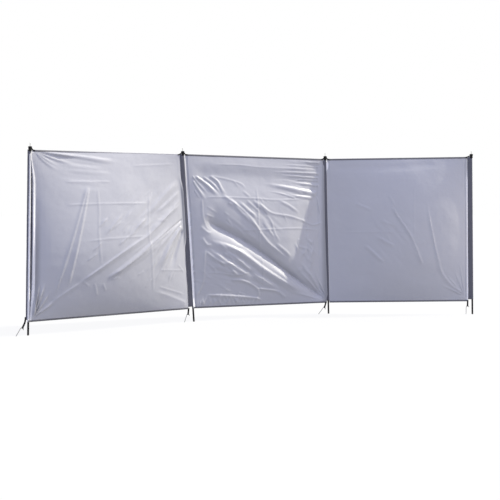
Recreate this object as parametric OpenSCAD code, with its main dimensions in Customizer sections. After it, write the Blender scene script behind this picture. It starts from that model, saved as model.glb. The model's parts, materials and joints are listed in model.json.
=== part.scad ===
// Windbreak of three cloth bays hung between four poles that are pushed into the ground.
// It is modelled from ground level up. The origin is the middle of the left pole at the ground,
// +X runs to the right, +Y to the back and +Z up. Every pole stands a little out of plumb.

/* [Bays] */
// Distance from the left pole to the second pole at the ground
left_bay_w = 1468; // [1000:1:2000]
// Distance from the second pole to the third pole at the ground
middle_bay_w = 1364; // [1000:1:2000]
// Distance from the third pole to the right pole at the ground
right_bay_w = 1390; // [1000:1:2000]
// Heading of the left bay in plan, in degrees from +X
left_heading = 28.5; // [0:0.1:40]
// Heading of the middle bay in plan
middle_heading = 20.9; // [0:0.1:40]
// Heading of the right bay in plan
right_heading = -1.6; // [-20:0.1:30]

/* [Poles] */
// Diameter of the poles
pole_d = 16; // [12:0.5:22]
// Length of pole above the upper edge of the cloth
pole_above = 17; // [12:1:40]
// Lean of the left pole along the run, in degrees to the right
left_lean = 0.6; // [-6:0.1:6]
// Lean of the second pole
second_lean = -4; // [-6:0.1:6]
// Lean of the third pole
third_lean = -1.3; // [-6:0.1:6]
// Lean of the right pole
right_lean = -0.4; // [-6:0.1:6]

/* [Cloth] */
// Height of the cloth from its lower edge to its upper edge
cloth_h = 1400; // [900:10:1800]
// Thickness of the cloth
cloth_t = 2; // [1:0.1:4]
// How far the left panel bellies to the front
left_belly = 142; // [0:1:150]
// How far the middle panel bellies to the front
middle_belly = 66; // [0:1:150]
// How far the right panel bellies to the front
right_belly = 96; // [0:1:150]
// Share of the left bay's width at which its panel bellies most
left_crest = 0.45; // [0.25:0.01:0.75]
// Share of the middle bay's width
middle_crest = 0.38; // [0.25:0.01:0.75]
// Share of the right bay's width
right_crest = 0.58; // [0.25:0.01:0.75]
// Share of the cloth's height at which every panel bellies most
crest_h = 0.45; // [0.3:0.01:0.7]
// Depth of the long fold that crosses the middle panel down to its lower right corner
fold_depth = 50; // [0:1:80]
// Width of the upper flank of that fold
fold_above = 230; // [100:5:400]
// Width of its lower flank
fold_below = 125; // [80:5:300]
// Share of the cloth's height at which the line of the fold meets the second pole
fold_h = 0.69; // [0.3:0.01:0.9]
// Depth of the hollow in the middle panel beside the third pole
hollow_depth = 18; // [0:1:80]
// Share of the middle bay's width at which that hollow is deepest
hollow_at = 0.84; // [0.7:0.01:0.9]
// Distance from there to the hollow's edges
hollow_w = 180; // [100:5:300]
// Distance from the sides of the panel over which the fold and the hollow die out
fold_fade = 160; // [50:5:300]
// Gap under the cloth at the left pole
left_gap = 106; // [95:1:200]
// Gap under the cloth at the second pole
second_gap = 119; // [95:1:200]
// Gap under the cloth at the third pole
third_gap = 106; // [95:1:200]
// Gap under the cloth at the right pole
right_gap = 124; // [95:1:200]
// Width of the tape folded over the upper and lower edges
binding_w = 16; // [10:1:30]
// Thickness of one layer of that tape
binding_t = 1.2; // [0.8:0.1:2]
// Width of the seam strip between a sleeve and its panel
seam_w = 18; // [10:1:30]

/* [Sleeves] */
// Thickness of the sleeve cloth
sleeve_t = 1.2; // [0.8:0.1:2]
// Outer radius of the folded edge of a sleeve
sleeve_fold_r = 2.4; // [2.1:0.1:4]
// Height of a sleeve's lower end above the lower edge of the cloth
sleeve_lift = 20; // [17:1:60]
// Reach of the left sleeve from the middle of its pole to its folded edge
left_tail = 20; // [17:1:60]
// Reach of the second sleeve
second_tail = 37; // [17:1:60]
// Reach of the third sleeve
third_tail = 21; // [17:1:60]
// Reach of the right sleeve
right_tail = 37; // [17:1:60]

/* [Caps and pins] */
// Wall of the cap around the pole
cap_wall = 3.6; // [1.5:0.1:5]
// How far the crown stands out beyond the neck of the cap
cap_flange = 3.5; // [2.5:0.1:6]
// How far the skirt stands out beyond the neck of the cap
cap_step = 1.2; // [0.6:0.1:1.4]
// Length of the cap below the end of the pole
cap_skirt = 30; // [22:1:50]
// Height of the cap above the end of the pole
cap_crown = 10; // [8:0.5:20]
// Radius of the rounded upper edge of the cap
cap_round = 4; // [2:0.5:6]
// Diameter of the pin on top of a pole
pin_d = 7; // [5:0.5:8]
// How far the foot of the pin stands out beyond the pin
pin_step = 1; // [0.5:0.1:1.5]
// Height to which that foot shows above the cap, as a collar
pin_collar = 1; // [0.5:0.1:3]
// Length of pin that shows above the cap
pin_h = 30; // [15:1:60]
// Height of the tapered tip of the pin
pin_tip = 3; // [1:0.5:6]

/* [Loops and pegs] */
// Width of the elastic strap at the upper corners
strap_w = 10; // [3:0.5:12]
// Thickness of that strap
strap_t = 2.4; // [1.6:0.1:3]
// How far the end of that strap lies along the binding
strap_reach = 26; // [10:1:60]
// Width of the webbing loop at a lower corner
web_w = 14; // [8:1:18]
// Thickness of the webbing
web_t = 2.4; // [1.5:0.1:3]
// Length of the webbing loop
web_l = 50; // [40:1:60]
// How far the webbing reaches up beside the left sleeve
web_tab = 24; // [15:1:60]
// Swing of the left loop from its pole, in degrees to the left
left_swing = 24; // [0:1:35]
// Swing of the second loop
second_swing = 10; // [0:1:35]
// Swing of the third loop
third_swing = 20; // [0:1:35]
// Swing of the right loop
right_swing = 2; // [0:1:35]
// Diameter of the peg wire
wire_d = 5; // [3:0.5:6]
// Inner radius of the hook on a peg
hook_r = 10; // [9:0.5:14]
// Slant of the left peg beyond the swing of its loop, in degrees
left_slant = 6; // [-20:1:35]
// Slant of the second peg
second_slant = 14; // [-20:1:35]
// Slant of the third peg
third_slant = 22; // [-20:1:35]
// Slant of the right peg
right_slant = 0; // [-20:1:35]

/* [Hidden] */
$fn = 48;
// Clearance between pieces that touch
fit = 0.3;
// How far a hole is cut beyond the face it opens in
over = 1;
// Rows and columns of flat facets that make up a panel
panel_rows = 18;
panel_cols = 20;
// Steps of the two arcs in a sleeve's outline
round_steps = 24;
fold_steps = 8;

pole_names = ["left", "second", "third", "right"];
bay_names = ["left", "middle", "right"];
last_pole = len(pole_names) - 1;
last_bay = len(bay_names) - 1;
middle_bay = 1;
bay_w = [left_bay_w, middle_bay_w, right_bay_w];
bay_heading = [left_heading, middle_heading, right_heading];
pole_lean = [left_lean, second_lean, third_lean, right_lean];
cloth_gap = [left_gap, second_gap, third_gap, right_gap];
sleeve_tail = [left_tail, second_tail, third_tail, right_tail];
web_swing = [left_swing, second_swing, third_swing, right_swing];
peg_slant = [left_slant, second_slant, third_slant, right_slant];
belly = [left_belly, middle_belly, right_belly];
crest = [left_crest, middle_crest, right_crest];

pole_r = pole_d / 2;
sleeve_r = pole_r + fit + sleeve_t;
cap_neck_r = pole_r + fit + cap_wall;
cap_skirt_r = cap_neck_r + cap_step;
cap_r = cap_neck_r + cap_flange;
cap_neck_h = strap_w + 2 * fit;
// The straps start in the middle of the ring about the cap's neck
strap_start = cap_neck_r + fit + strap_t / 2;
// The panel's upper and lower edges stop inside the folded tape
edge_in = binding_t + fit;
web_gap = wire_d + 4 * fit;
hook_mid_r = hook_r + wire_d / 2;

pole_black = [0.07, 0.07, 0.08];
cap_black = [0.04, 0.04, 0.045];
steel = [0.72, 0.72, 0.7];
silver_cloth = [0.74, 0.75, 0.79];
seam_silver = [0.82, 0.82, 0.85];
sleeve_grey = [0.36, 0.36, 0.4];
binding_grey = [0.4, 0.4, 0.43];
webbing_black = [0.05, 0.05, 0.05];

// Plan: where each pole meets the ground, and the heading of the run as it passes the pole
function foot(p) = p == 0 ? [0, 0, 0]
    : foot(p - 1) + bay_w[p - 1] * [cos(bay_heading[p - 1]), sin(bay_heading[p - 1]), 0];
function run(p) = (bay_heading[max(p - 1, 0)] + bay_heading[min(p, last_bay)]) / 2;
function pole_top(p) = cloth_gap[p] + cloth_h + pole_above;

// A point beside pole p, with x along bay b, y to the back and z up the pole
function turned(q, a) = [q.x * cos(a) - q.y * sin(a), q.x * sin(a) + q.y * cos(a), q.z];
function leaned(q, a) = [q.x * cos(a) + q.z * sin(a), q.y, q.z * cos(a) - q.x * sin(a)];
function beside(p, b, q) =
    foot(p) + turned(leaned(turned(q, bay_heading[b] - run(p)), pole_lean[p]), run(p));

// The same frame for solids
module by_pole(p, b) {
    translate(foot(p)) rotate([0, 0, run(p)]) rotate([0, pole_lean[p], 0])
        rotate([0, 0, bay_heading[b] - run(p)]) children();
}

// The bay to the left of a pole, which its sleeve points along; the left pole has only its right bay
function left_bay(p) = max(p - 1, 0);

// Keeps what stands above the ground within reach of a point on it
module above_ground(at, reach) {
    difference() {
        children();
        translate([at.x - reach, at.y - reach, -2 * reach]) cube(2 * reach);
    }
}

// A frame at one point with its x axis towards another, and its z axis as near to up as that leaves
module towards(from, to) {
    v = to - from;
    translate(from) rotate([0, -asin(v.z / norm(v)), atan2(v.y, v.x)]) children();
}

// Panels: x of a panel's two side edges, measured from the poles beside it
panel_start = sleeve_r + fit + seam_w + fit;
function panel_end(b) = -(sleeve_tail[b + 1] + fit + seam_w + fit);

// A point of a side edge at height h above the lower edge of the cloth
function left_edge(b, h) = beside(b, b, [panel_start, 0, cloth_gap[b] + h]);
function right_edge(b, h) = beside(b + 1, b, [panel_end(b), 0, cloth_gap[b + 1] + h]);
function back_of(b) = [-sin(bay_heading[b]), cos(bay_heading[b]), 0];

// Heights of a panel's rows: its two edges, and even rows between the bindings
panel_low = binding_w;
panel_high = cloth_h - binding_w;
row_heights = concat(
    [edge_in],
    [for (k = [0:panel_rows]) panel_low + (panel_high - panel_low) * k / panel_rows],
    [cloth_h - edge_in]
);
// An arch from 0 to 1 and back to 0 over shares 0 to 1, highest where the share is top
function arch(share, top) = let (s = pow(share, ln(0.5) / ln(top))) 1 - pow(2 * s - 1, 2);
// A smooth rise from 0 to 1 over shares 0 to 1
function eased(share) = let (s = min(max(share, 0), 1)) s * s * (3 - 2 * s);
// The flank of a fold: 1 on its line, steepest there, and 0 from one width away
function flank(share) = pow(1 - min(share, 1), 2);
// How deep the fold and the hollow are at height h and share u of the middle panel
function fold_dip(h, u) = let (
        line_h = cloth_h * fold_h,
        away = (h - line_h * (1 - u)) * cos(atan2(line_h, middle_bay_w))
    ) fold_depth * (1 - u / 2) * flank(away > 0 ? away / fold_above : -away / fold_below);
function hollow_dip(h, u) = hollow_depth * eased(1 - abs(u - hollow_at) * middle_bay_w / hollow_w);
function held(from, to) = eased(from / fold_fade) * eased(to / fold_fade);
function dip(h, u) = (fold_dip(h, u) + hollow_dip(h, u))
    * held(h - panel_low, panel_high - h) * held(u * middle_bay_w, (1 - u) * middle_bay_w);
// How far a panel stands out to the front at height h and share u
function swell(b, h, u) = let (v = min(max((h - panel_low) / (panel_high - panel_low), 0), 1))
    belly[b] * arch(v, crest_h) * arch(u, crest[b]) - (b == middle_bay ? dip(h, u) : 0);
function panel_point(b, h, u, side) = left_edge(b, h) * (1 - u) + right_edge(b, h) * u
    + back_of(b) * (side * cloth_t / 2 - swell(b, h, u));

module pole(p) {
    color(pole_black) above_ground(foot(p), 4 * pole_d)
        by_pole(p, left_bay(p)) translate([0, 0, -pole_d]) cylinder(d = pole_d, h = pole_top(p) + pole_d);
}

// Steel pin that stands on the end of the pole and comes out through the cap
module pin(p) {
    collar = cap_crown + pin_collar;
    straight = cap_crown + pin_h - pin_tip;
    color(steel) by_pole(p, left_bay(p)) translate([0, 0, pole_top(p)]) {
        cylinder(d = pin_d + 2 * pin_step, h = collar);
        translate([0, 0, collar]) cylinder(d = pin_d, h = straight - collar);
        translate([0, 0, straight]) cylinder(d1 = pin_d, d2 = pin_d - pin_tip, h = pin_tip);
    }
}

// Moulded cap: a skirt over the pole, a neck for the strap and a rounded crown
module cap(p) {
    color(cap_black) by_pole(p, left_bay(p)) translate([0, 0, pole_top(p)]) rotate_extrude() difference() {
        union() {
            translate([0, -cap_skirt]) square([cap_skirt_r, cap_skirt - cap_neck_h]);
            translate([0, -cap_neck_h]) square([cap_neck_r, cap_neck_h]);
            square([cap_r, cap_crown - cap_round]);
            square([cap_r - cap_round, cap_crown]);
            translate([cap_r - cap_round, cap_crown - cap_round]) circle(cap_round);
        }
        translate([0, -cap_skirt - over]) square([pole_r + fit, cap_skirt + over]);
        translate([0, -over]) square([pin_d / 2 + pin_step + fit, cap_crown + 2 * over]);
    }
}

// Outline of a flat sleeve: round about the pole and drawn in to a folded edge on its left
function arc(middle, r, from, to, steps) =
    [for (k = [0:steps]) let (a = from + (to - from) * k / steps) middle + r * [cos(a), sin(a)]];

module sleeve_outline(p, inset) {
    big = sleeve_r - inset;
    small = sleeve_fold_r - inset;
    reach = sleeve_tail[p] - sleeve_fold_r;
    tangent = 90 + asin((big - small) / reach);
    polygon(concat(
        arc([0, 0], big, -tangent, tangent, round_steps),
        arc([-reach, 0], small, tangent, 360 - tangent, fold_steps)
    ));
}

// The sleeve reaches the upper edge of the cloth, and is cut out around the skirt of the cap
module sleeve(p) {
    low = cloth_gap[p] + sleeve_lift;
    high = cloth_gap[p] + cloth_h;
    cap_low = pole_top(p) - cap_skirt - 2 * fit;
    color(sleeve_grey) by_pole(p, left_bay(p)) difference() {
        translate([0, 0, low]) linear_extrude(high - low) difference() {
            sleeve_outline(p, 0);
            sleeve_outline(p, sleeve_t);
        }
        translate([0, 0, cap_low]) cylinder(r = cap_skirt_r + 2 * fit, h = high - cap_low + over);
    }
}

// Cloth panel: a ruled sheet between its two side edges that bellies to the front
module panel(b) {
    rows = len(row_heights);
    across = panel_cols + 1;
    layer = rows * across;
    points = [for (side = [-1, 1], h = row_heights, c = [0:panel_cols]) panel_point(b, h, c / panel_cols, side)];
    corners = [for (r = [0:rows - 2], c = [0:panel_cols - 1]) r * across + c];
    front = [for (k = corners) each [[k, k + across, k + across + 1], [k, k + across + 1, k + 1]]];
    back = [for (t = front) [t[2] + layer, t[1] + layer, t[0] + layer]];
    rim = concat(
        [for (c = [0:panel_cols]) c],
        [for (r = [1:rows - 1]) r * across + panel_cols],
        [for (c = [panel_cols - 1:-1:0]) (rows - 1) * across + c],
        [for (r = [rows - 2:-1:1]) r * across]
    );
    sides = [for (k = [0:len(rim) - 1]) let (m = rim[k], n = rim[(k + 1) % len(rim)])
        each [[m, n, n + layer], [m, n + layer, m + layer]]];
    color(silver_cloth) polyhedron(points, concat(front, back, sides));
}

// Seam strip along one side of a panel, between the two bindings
module seam(p, b, x) {
    color(seam_silver) by_pole(p, b) translate([x, -cloth_t / 2, cloth_gap[p] + binding_w + fit])
        cube([seam_w, cloth_t, cloth_h - 2 * (binding_w + fit)]);
}

module left_seam(b) { seam(b, b, sleeve_r + fit); }

module right_seam(b) { seam(b + 1, b, panel_end(b) + fit); }

// Where the outer face of a binding starts and ends: level with a panel's edge, and out past its seams
function edge_dir(b, h) = let (v = right_edge(b, h) - left_edge(b, h)) v / norm(v);
function binding_start(b, h, clear_of) = left_edge(b, h) - edge_dir(b, h) * (panel_start - clear_of - fit);
function binding_end(b, h, clear_of) = right_edge(b, h)
    - edge_dir(b, h) * (panel_end(b) + max(sleeve_tail[b + 1], clear_of) + fit);

// Tape folded over an edge: up is 1 along the upper edge and -1 along the lower one
module binding(b, h, clear_of, up) {
    from = binding_start(b, h, clear_of);
    to = binding_end(b, h, clear_of);
    half = cloth_t / 2 + fit;
    color(binding_grey) towards(from, to)
        rotate([90, 0, 90]) linear_extrude(norm(to - from)) difference() {
            translate([-half - binding_t, up > 0 ? -binding_w : 0]) square([2 * (half + binding_t), binding_w]);
            translate([-half, up > 0 ? -binding_w - binding_t : binding_t]) square([2 * half, binding_w]);
        }
}

module top_binding(b) { binding(b, cloth_h, cap_r, 1); }

module bottom_binding(b) { binding(b, 0, sleeve_r, -1); }

// A flat strap on edge, from the ring about a cap down to the top of a binding
module strap(from, to) {
    seat = to + [0, 0, strap_w / 2 + fit];
    towards(from, seat) translate([0, -strap_t / 2, -strap_w / 2]) cube([norm(seat - from), strap_t, strap_w]);
}

// Elastic ring about the neck of a cap, with a strap to the binding on each side that has a bay
module top_loop(p) {
    ring_z = pole_top(p) - cap_neck_h / 2;
    color(webbing_black) {
        by_pole(p, left_bay(p)) translate([0, 0, ring_z - strap_w / 2]) difference() {
            cylinder(r = strap_start + strap_t / 2, h = strap_w);
            translate([0, 0, -over]) cylinder(r = strap_start - strap_t / 2, h = strap_w + 2 * over);
        }
        if (p > 0) strap(
            beside(p, p - 1, [-strap_start, 0, ring_z]),
            binding_end(p - 1, cloth_h, cap_r) - edge_dir(p - 1, cloth_h) * strap_reach
        );
        if (p < last_pole) strap(
            beside(p, p, [strap_start, 0, ring_z]),
            binding_start(p, cloth_h, cap_r) + edge_dir(p, cloth_h) * strap_reach
        );
    }
}

// The upper end of a webbing loop, just under the lower corner of the cloth and left of the sleeve
module by_web(p) {
    drop = web_w / 2 * sin(web_swing[p]) + 2 * fit;
    by_pole(p, left_bay(p))
        translate([-sleeve_tail[p] - fit - web_w / 2, 0, cloth_gap[p] - drop])
        rotate([0, web_swing[p], 0]) children();
}

// Outline of the webbing loop seen along the bay, from its upper end down
module web_outline(inset) {
    end_r = web_gap / 2 + web_t - inset;
    for (z = [-web_gap / 2 - web_t, web_gap / 2 + web_t - web_l]) translate([0, z]) circle(end_r);
    translate([-end_r, web_gap / 2 + web_t - web_l]) square([2 * end_r, web_l - web_gap - 2 * web_t]);
}

module peg_loop(p) {
    color(webbing_black) {
        by_web(p) rotate([90, 0, 90]) translate([0, 0, -web_w / 2]) linear_extrude(web_w) difference() {
            web_outline(0);
            web_outline(web_t);
        }
        // The left sleeve has no bay on its left, so this loop is sewn to the sleeve by a tab
        if (p == 0) by_pole(p, 0) translate([-sleeve_tail[p] - fit - web_w, -web_t / 2, cloth_gap[p] - 2 * web_t])
            cube([web_w, web_t, sleeve_lift + web_tab + 2 * web_t]);
    }
}

// Wire peg: its hook passes through the webbing loop, and its shank slants down into the ground
module peg(p) {
    sag = hook_r - sqrt(hook_r * hook_r - web_w * web_w / 4);
    hook_z = web_t + fit + sag - hook_r - web_l;
    shank = cloth_gap[p] + 2 * web_l;
    color(steel) above_ground(foot(p), 2 * shank) by_web(p) translate([0, 0, hook_z]) rotate([0, peg_slant[p], 0]) {
        rotate([90, 0, 0]) rotate_extrude(angle = 180) translate([hook_mid_r, 0]) circle(d = wire_d);
        translate([-hook_mid_r, 0, -shank]) cylinder(d = wire_d, h = shank);
        translate([hook_mid_r, 0, 0]) sphere(d = wire_d);
    }
}

module shown(name) {
    children();
}

for (p = [0:last_pole]) {
    shown(str(pole_names[p], "_pole")) pole(p);
    shown(str(pole_names[p], "_pin")) pin(p);
    shown(str(pole_names[p], "_cap")) cap(p);
    shown(str(pole_names[p], "_sleeve")) sleeve(p);
    shown(str(pole_names[p], "_top_loop")) top_loop(p);
    shown(str(pole_names[p], "_peg_loop")) peg_loop(p);
    shown(str(pole_names[p], "_peg")) peg(p);
}
for (b = [0:last_bay]) {
    shown(str(bay_names[b], "_panel")) panel(b);
    shown(str(bay_names[b], "_panel_left_seam")) left_seam(b);
    shown(str(bay_names[b], "_panel_right_seam")) right_seam(b);
    shown(str(bay_names[b], "_top_binding")) top_binding(b);
    shown(str(bay_names[b], "_bottom_binding")) bottom_binding(b);
}
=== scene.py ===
"""Looks of the three-bay windbreak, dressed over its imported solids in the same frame.

The cloth is worked out in millimetres and made in metres. A fold is placed by the pixels
where the photograph (500 x 500) shows it, and lies on the bay that carries it."""

import json
import math

import bpy
import numpy as np
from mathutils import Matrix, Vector


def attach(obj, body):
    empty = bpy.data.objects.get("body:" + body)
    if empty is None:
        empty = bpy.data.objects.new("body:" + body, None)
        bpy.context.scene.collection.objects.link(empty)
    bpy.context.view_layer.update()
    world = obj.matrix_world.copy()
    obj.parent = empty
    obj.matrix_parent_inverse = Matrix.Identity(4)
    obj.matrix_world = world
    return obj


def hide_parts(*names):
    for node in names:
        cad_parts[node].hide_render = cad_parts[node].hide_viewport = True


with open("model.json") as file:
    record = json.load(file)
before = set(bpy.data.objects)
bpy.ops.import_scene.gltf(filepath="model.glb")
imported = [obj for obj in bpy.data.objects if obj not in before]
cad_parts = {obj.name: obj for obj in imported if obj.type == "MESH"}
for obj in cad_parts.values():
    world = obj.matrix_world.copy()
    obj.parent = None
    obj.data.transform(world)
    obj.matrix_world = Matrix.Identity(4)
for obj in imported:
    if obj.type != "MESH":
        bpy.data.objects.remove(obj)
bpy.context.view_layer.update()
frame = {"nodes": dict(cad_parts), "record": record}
bpy.context.scene.view_settings.view_transform = "Standard"

MM = 0.001
POLES = ("left", "second", "third", "right")
BAYS = ("left", "middle", "right")
LEFT, MIDDLE, RIGHT = range(len(BAYS))

# Sizes that the part's source also uses, in millimetres
CLOTH_HEIGHT = 1400
CLOTH_GAP = (106, 119, 106, 124)
POLE_ABOVE = 17
CAP_SKIRT = 30
CAP_NECK = 11.9
CAP_SKIRT_RADIUS = 13.1
CAP_CLEAR = 15.7
SLEEVE_RADIUS = 9.5
SLEEVE_LIFT = 20
SLEEVE_FOLD = 2.4
SLEEVE_TAIL = (20, 37, 21, 37)
TAPE_WIDTH = 16
STRAP_WIDTH = 10
STRAP_THICK = 2.4
STRAP_REACH = 26
WEB_WIDTH = 14
WEB_THICK = 2.4
WEB_LENGTH = 50
WEB_TAB = 24
WEB_SWING = (24, 10, 20, 2)
WIRE = 5
FIT = 0.3

# Reach of each sleeve's folded edge from its pole, at its lower end, middle and upper end
TAILS = ((20, 20, 20), (43, 36, 30), (14, 27, 21), (38, 37, 36))

# How far each panel swells to the front, the shares of its width and height where it swells most,
# and how blunt that swell is up the panel
SWELL = (145, 66, 95)
SWELL_AT = (0.46, 0.38, 0.6)
SWELL_UP = (0.4, 0.46, 0.5)
SWELL_BLUNT = (1.6, 1.8, 2.2)

# Where each bay's cloth starts beside its left pole, at its lower and upper end: it wraps the sleeve
WRAP_LOW = (-9, 0, 9.8)
WRAP_HIGH = (-7, 9.8, 9.8)

# Side edges of a bay's cloth, as (distance, height to the front) across the seam: plain, at the left
# bay's tuck, at a strip that turns to the light, at the middle bay's hollow, and at the left bay's lap
PLAIN_START = ((-9, 8.6), (-4, 10.8), (0, 11), (4, 10), (8.6, 6.5), (14, 0.5), (20, 0), (200, 0))
TUCK_START = ((-9, 8.6), (-4, 10.8), (0, 11), (4, 10), (8, 4), (12, -14), (17, -20), (22, -18), (27, 3),
              (31, 6), (46, -7), (54, -9), (70, -6.5), (95, -3), (130, -0.8), (170, 0), (200, 0))
STRIP_START = ((0, 10.8), (4, 10), (8.6, 6.5), (26, -8), (31, -8), (40, 0), (200, 0))
PLAIN_END = ((0, -3), (12, 0), (200, 0))
STRIP_END = ((0, -1), (4, 0), (24, 2), (29, -3), (40, 0), (200, 0))
HOLLOW_END = ((0, 6.5), (12, 3), (40, -8), (75, -17), (110, -15), (190, -5), (300, 0))
LAP_END = ((0, 9.5), (12, 4), (24, -2), (40, -3.5), (70, -1.5), (120, 0))
# Laps over the right sleeves, and heights over which the left bay's lap starts and ends
LAP_WIDTH = (12, 8, 0)
LAP_STARTS, LAP_ENDS = (530, 660), (1210, 1040)
# The left bay's tuck: heights it spans, how bluntly it opens and how far from the pole, then its shares of
# full width at its upper and lower ends and the heights over which it narrows there
TUCK_SPAN = (60, 1345)
TUCK_BLUNT, TUCK_FROM = 0.6, 9
TUCK_HIGH, TUCK_LOW = 0.35, 0.6
NARROWS_UP, NARROWS_DOWN = (1385, 1120), (0, 320)
# Middle, half width and distance to the front of the dark lining laid over the cloth in that tuck, which
# stands partly for the sleeve showing through and partly for painted shade in the tuck's deep valley
LINING_AT, LINING_HALF, LINING_OUT = 18, 7, 1.6
# Width of the strips coloured pale beside the seams, and where the left bay's second strip starts
PALE_WIDTH, PALE_AGAIN = 22, 36
# Heights of the small twist at the third pole's upper end
TWIST_SPAN = (1270, 1385)
# Puckers in the middle bay's left strip: rise, size and seed, heights over which they start and end,
# and their distance from the pole
PUCKERS = (0.5, 16, 31)
PUCKER_STARTS, PUCKER_ENDS, PUCKER_FROM = (150, 300), (1200, 900), 10
# How far the bays' pale strips are dulled low down and high up, and the heights between; then how strongly
# the cloth is darkened by painted shade past the left bay's tuck, by a painted shadow of the second pole
# on its lap, and by painted shade beside the third sleeve
STRIP_DULL_LOW, STRIP_DULL_HIGH = (0.15, 0, 0), (0.45, 0.55, 0.6)
STRIP_DULL_RISES = ((850, 1150), (850, 1100), (1130, 1300))
PAINTED_SHADE_PAST_TUCK, PAINTED_SHADOW_ON_LAP, PAINTED_SHADE_BY_SLEEVE = 0.8, 0.75, 0.9
# Strewn creases: spread as a share of their reach, spread of slant in degrees, half length, and size
STREWN_SPREAD, STREWN_TURN, STREWN_HALF, STREWN_SIZE = 0.45, 9, (30, 85), (0.5, 1.3)
# Soft hills all over the panels: rise, size and seed
HILLS = ((1.6, 130, 1), (0.5, 47, 11), (0.22, 21, 21))
# Distances from a seam and from a tape over which folds grow, and their share at the tape itself
GROWS_BY_SEAM, GROWS_BY_TAPE, SHARE_AT_TAPE = (8, 45), (4, 45), 0.12

CLOTH_THICK = 1.2
SLEEVE_THICK = 0.9
LINING_THICK = 0.8


# The camera, as the photograph was taken
PHOTO_SIDE = 500.0
FOCAL_PX = 725.0
CENTRE_PX = (250.0, 205.25)
EYE = (1.799, -5.877, 1.0545)
SENSOR = 36.0


def set_camera():
    bpy.ops.object.camera_add(location=EYE, rotation=(math.radians(90), 0, 0))
    camera = bpy.context.object
    camera.data.sensor_width = SENSOR
    camera.data.lens = SENSOR * FOCAL_PX / PHOTO_SIDE
    camera.data.shift_y = (CENTRE_PX[1] - PHOTO_SIDE / 2) / PHOTO_SIDE
    bpy.context.scene.camera = camera


# Shader maths: a wrapped socket, and a tree that makes nodes
def math_node(how):
    """A method that adds a Math node to a value's tree."""
    def method(value, other=0.0):
        return value.tree.node("ShaderNodeMath", {0: value, 1: other}, {"operation": how})
    return method


class Val:
    """A socket of a node tree; sums on it add Math nodes."""

    def __init__(self, tree, socket):
        self.tree, self.socket = tree, socket

    def __rsub__(self, other):
        return self.tree.node("ShaderNodeMath", {0: other, 1: self}, {"operation": "SUBTRACT"})

    __add__ = math_node("ADD")
    __sub__ = math_node("SUBTRACT")
    __mul__ = math_node("MULTIPLY")
    __pow__ = math_node("POWER")
    __lt__ = math_node("LESS_THAN")
    __gt__ = math_node("GREATER_THAN")
    most = math_node("MAXIMUM")
    fract = math_node("FRACT")
    sine = math_node("SINE")
    size = math_node("ABSOLUTE")


class Tree:
    """A node tree, with one way to add any node to it."""

    def __init__(self, tree):
        self.tree = tree
        tree.nodes.clear()

    def node(self, kind, inputs=None, settings=None, out=0):
        """Adds a node, and gives its output of that index."""
        made = self.tree.nodes.new(kind)
        for name, value in (settings or {}).items():
            setattr(made, name, value)
        for key, value in (inputs or {}).items():
            if isinstance(value, Val):
                self.tree.links.new(value.socket, made.inputs[key])
            else:
                made.inputs[key].default_value = value
        return Val(self, made.outputs[out]) if made.outputs else None

    def mix(self, share, a, b):
        """Colour a where share is 0 and b where it is 1."""
        ends = {6: a if isinstance(a, Val) else (*a, 1), 7: b if isinstance(b, Val) else (*b, 1)}
        return self.node("ShaderNodeMix", {0: share, **ends}, {"data_type": "RGBA"}, out=2)

    def noise(self, place, scale, detail=3.0, rough=0.5):
        return self.node("ShaderNodeTexNoise",
                         {"Vector": place, "Scale": scale, "Detail": detail, "Roughness": rough})

    def stretch(self, place, *scale):
        return self.node("ShaderNodeMapping", {"Vector": place, "Scale": scale})

    def bump(self, height, strength, distance):
        return self.node("ShaderNodeBump", {"Height": height, "Strength": strength, "Distance": distance})

    def parts(self, place):
        """The three coordinates of a place."""
        split = self.node("ShaderNodeSeparateXYZ", {0: place})
        return [Val(self, socket) for socket in split.socket.node.outputs]

    def layer(self, name):
        """The first coordinate of a mesh's UV map."""
        return self.parts(self.node("ShaderNodeUVMap", settings={"uv_map": name}))[0]


def material_of(name, draw):
    """A material with the shader that draw(tree) returns."""
    material = bpy.data.materials.new(name)
    material.use_nodes = True
    tree = Tree(material.node_tree)
    tree.node("ShaderNodeOutputMaterial", {"Surface": draw(tree)})
    return material


def finish_of(name, draw):
    """A material whose Principled inputs are what draw(tree) returns."""
    return material_of(name, lambda tree: tree.node("ShaderNodeBsdfPrincipled", draw(tree)))


def look(colour, roughness, normal, metallic=0.0, shine=0.5):
    """Inputs of a Principled shader, where shine is its specular level."""
    return {"Base Color": colour, "Roughness": roughness, "Normal": normal,
            "Metallic": metallic, "Specular IOR Level": shine}


def cloth_place(tree):
    """The sheet's own flat coordinates in metres, together, and then along and across it."""
    place = tree.node("ShaderNodeTexCoord", out=2)
    return place, *tree.parts(place)[:2]


def solid_place(tree):
    """A solid's own coordinates, in metres."""
    return tree.node("ShaderNodeTexCoord", out=3)


def weave(along, across, pitch):
    """Height of a plain weave of that pitch in metres, from -1 to 1."""
    step = 2 * math.pi / pitch
    return (along * step).sine() * (across * step).sine()


def dashes(along, per_metre, share):
    """1 on the stitches of a row and 0 between them."""
    return (along * per_metre).fract() < share


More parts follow.
